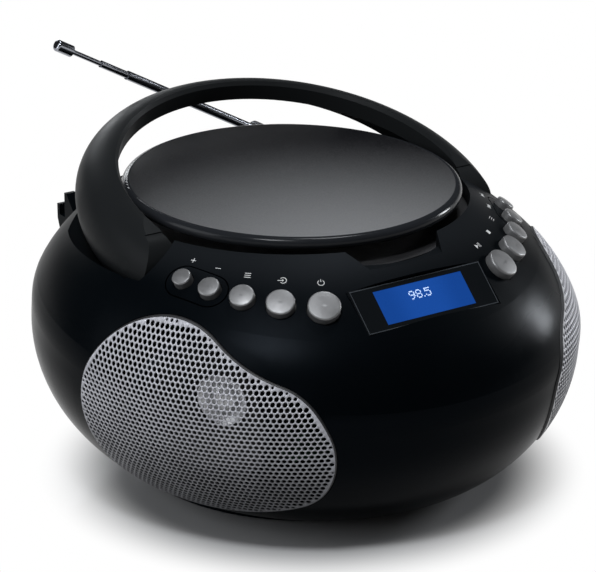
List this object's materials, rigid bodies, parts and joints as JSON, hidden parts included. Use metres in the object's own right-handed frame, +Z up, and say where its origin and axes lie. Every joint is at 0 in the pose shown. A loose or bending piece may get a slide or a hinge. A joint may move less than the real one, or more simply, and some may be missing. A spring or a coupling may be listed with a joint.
{
  "type": "boombox",
  "caption": "Round portable radio and disc player with a swinging handle, two side speakers, a sloping display and a telescopic antenna.",
  "frame": {"origin": "on the table under the axis of the round body", "axes": "+X to the right as seen from the display side, +Y to the back, +Z up"},
  "size_m": [0.246, 0.2452, 0.1783],
  "materials": {
    "case_plastic": "moulded black plastic, glossy low down and satin near the deck",
    "lid_plastic": "satin warm grey paint over plastic",
    "island_plastic": "black plastic",
    "button_plastic": "satin metallic grey",
    "grille_metal": "perforated steel, silver-grey paint",
    "rubber": "soft black rubber",
    "steel": "plated steel",
    "chrome": "polished",
    "window_plastic": "piano black",
    "lcd_blue": "backlit blue display",
    "circuit_board": "green circuit board",
    "inner_plastic": "fine-grained black plastic",
    "cone_paper": "pressed paper",
    "lens_glass": "coated lens"
  },
  "bodies": {
    "case": {"base_shell": "case_plastic", "upper_shell": "case_plastic", "rubber_feet": "rubber", "case_screws": "steel", "handle_pins": "steel", "left_grille": "grille_metal", "right_grille": "grille_metal", "left_speaker_frame": "steel", "right_speaker_frame": "steel", "left_speaker_magnet": "steel", "right_speaker_magnet": "steel", "disc_well": "inner_plastic", "lid_hinge_pins": "steel", "spindle_motor": "steel", "drive_chassis": "steel", "drive_dampers": "rubber", "sled_rails": "steel", "sled_motor": "steel", "display_window": "window_plastic", "lcd_panel": "lcd_blue", "display_board": "circuit_board", "left_key_bridge": "inner_plastic", "right_key_bridge": "inner_plastic", "key_switches": "inner_plastic", "volume_island": "island_plastic", "tuning_island": "island_plastic", "main_board": "circuit_board", "power_board": "circuit_board", "battery_tray": "inner_plastic", "battery_contacts": "steel", "mains_inlet": "inner_plastic", "audio_jacks": "inner_plastic", "antenna_mount": "inner_plastic", "antenna_clip": "inner_plastic"},
    "handle": {"handle": "case_plastic"},
    "lid": {"cd_lid": "lid_plastic", "lid_liner": "inner_plastic"},
    "disc_clamp": {"disc_clamp": "inner_plastic"},
    "turntable": {"turntable": "inner_plastic"},
    "laser_sled": {"laser_sled": "inner_plastic", "laser_lens": "lens_glass"},
    "sled_gear": {"sled_gear": "inner_plastic"},
    "battery_door": {"battery_door": "inner_plastic"},
    "left_cone": {"left_speaker_cone": "cone_paper"},
    "right_cone": {"right_speaker_cone": "cone_paper"},
    "antenna_swivel": {"antenna_swivel": "chrome"},
    "antenna_main": {"antenna_main": "chrome"},
    "antenna_middle": {"antenna_middle": "chrome"},
    "antenna_upper": {"antenna_upper": "chrome"},
    "antenna_tip": {"antenna_tip": "chrome"},
    "power_button": {"power_button": "button_plastic"},
    "source_button": {"source_button": "button_plastic"},
    "mode_button": {"mode_button": "button_plastic"},
    "volume_down_button": {"volume_down_button": "button_plastic"},
    "volume_up_button": {"volume_up_button": "button_plastic"},
    "play_button": {"play_button": "button_plastic"},
    "stop_button": {"stop_button": "button_plastic"},
    "menu_button": {"menu_button": "button_plastic"},
    "back_button": {"back_button": "button_plastic"},
    "forward_button": {"forward_button": "button_plastic"}
  },
  "joints": [
    {"name": "handle_hinge", "type": "hinge", "parent": "case", "child": "handle", "pos_m": [0, -0.00241, 0.11222], "axis": [1, 0, 0], "range_deg": [-14.9, 50]},
    {"name": "lid_hinge", "type": "hinge", "parent": "case", "child": "lid", "pos_m": [0, 0.07315, 0.12617], "axis": [-1, 0, 0], "range_deg": [0, 14]},
    {"name": "clamp_spin", "type": "hinge", "parent": "lid", "child": "disc_clamp", "pos_m": [0, 0.01131, 0.12051], "axis": [0, -0.0349, 0.9994], "continuous": true},
    {"name": "turntable_spin", "type": "hinge", "parent": "case", "child": "turntable", "pos_m": [0, 0.01137, 0.11881], "axis": [0, -0.0349, 0.9994], "continuous": true},
    {"name": "sled_slide", "type": "slide", "parent": "case", "child": "laser_sled", "axis": [1, 0, 0], "range_m": [0, 0.03]},
    {"name": "sled_gear_turn", "type": "hinge", "parent": "case", "child": "sled_gear", "pos_m": [0.04, 0.03496, 0.10532], "axis": [0, -0.0349, 0.9994], "range_deg": [0, 290]},
    {"name": "battery_door_hinge", "type": "hinge", "parent": "case", "child": "battery_door", "pos_m": [0, -0.0056, 0.0039], "axis": [-1, 0, 0], "range_deg": [0, 70]},
    {"name": "left_cone_slide", "type": "slide", "parent": "case", "child": "left_cone", "axis": [-0.8339, -0.5478, -0.0673], "range_m": [-0.0015, 0.0015], "stiffness_N_per_m": 1200},
    {"name": "right_cone_slide", "type": "slide", "parent": "case", "child": "right_cone", "axis": [0.8339, -0.5478, -0.0673], "range_m": [-0.0015, 0.0015], "stiffness_N_per_m": 1200},
    {"name": "power_button_press", "type": "slide", "parent": "case", "child": "power_button", "axis": [0.2796, 0.5625, -0.7781], "range_m": [0, 0.0012], "stiffness_N_per_m": 250, "springref_m": -0.001},
    {"name": "source_button_press", "type": "slide", "parent": "case", "child": "source_button", "axis": [0.3668, 0.4976, -0.786], "range_m": [0, 0.0012], "stiffness_N_per_m": 250, "springref_m": -0.001},
    {"name": "mode_button_press", "type": "slide", "parent": "case", "child": "mode_button", "axis": [0.4334, 0.4244, -0.795], "range_m": [0, 0.0012], "stiffness_N_per_m": 250, "springref_m": -0.001},
    {"name": "volume_down_button_press", "type": "slide", "parent": "case", "child": "volume_down_button", "axis": [0.4816, 0.3478, -0.8044], "range_m": [0, 0.0012], "stiffness_N_per_m": 250, "springref_m": -0.001},
    {"name": "volume_up_button_press", "type": "slide", "parent": "case", "child": "volume_up_button", "axis": [0.5139, 0.2713, -0.8138], "range_m": [0, 0.0012], "stiffness_N_per_m": 250, "springref_m": -0.001},
    {"name": "play_button_press", "type": "slide", "parent": "case", "child": "play_button", "axis": [-0.2796, 0.5625, -0.7781], "range_m": [0, 0.0012], "stiffness_N_per_m": 250, "springref_m": -0.001},
    {"name": "stop_button_press", "type": "slide", "parent": "case", "child": "stop_button", "axis": [-0.3668, 0.4976, -0.786], "range_m": [0, 0.0012], "stiffness_N_per_m": 250, "springref_m": -0.001},
    {"name": "menu_button_press", "type": "slide", "parent": "case", "child": "menu_button", "axis": [-0.4334, 0.4244, -0.795], "range_m": [0, 0.0012], "stiffness_N_per_m": 250, "springref_m": -0.001},
    {"name": "back_button_press", "type": "slide", "parent": "case", "child": "back_button", "axis": [-0.4816, 0.3478, -0.8044], "range_m": [0, 0.0012], "stiffness_N_per_m": 250, "springref_m": -0.001},
    {"name": "forward_button_press", "type": "slide", "parent": "case", "child": "forward_button", "axis": [-0.5139, 0.2713, -0.8138], "range_m": [0, 0.0012], "stiffness_N_per_m": 250, "springref_m": -0.001},
    {"name": "antenna_turn", "type": "hinge", "parent": "case", "child": "antenna_swivel", "pos_m": [0.05, 0.1146, 0.1155], "axis": [0, 0, 1], "range_deg": [-180, 0]},
    {"name": "antenna_tilt", "type": "hinge", "parent": "antenna_swivel", "child": "antenna_main", "pos_m": [0.05, 0.1146, 0.1155], "axis": [0, 1, 0], "range_deg": [-37.3, 61.2]},
    {"name": "antenna_middle_slide", "type": "slide", "parent": "antenna_main", "child": "antenna_middle", "axis": [-0.8763, 0, 0.4818], "range_m": [-0.013, 0.05]},
    {"name": "antenna_upper_slide", "type": "slide", "parent": "antenna_middle", "child": "antenna_upper", "axis": [-0.8763, 0, 0.4818], "range_m": [-0.014, 0.045]},
    {"name": "antenna_tip_slide", "type": "slide", "parent": "antenna_upper", "child": "antenna_tip", "axis": [-0.8763, 0, 0.4818], "range_m": [0, 0.055]}
  ],
  "couplings": [
    {"joint": "sled_gear_turn", "follows": "sled_slide", "rad_per_m": 166.67}
  ]
}
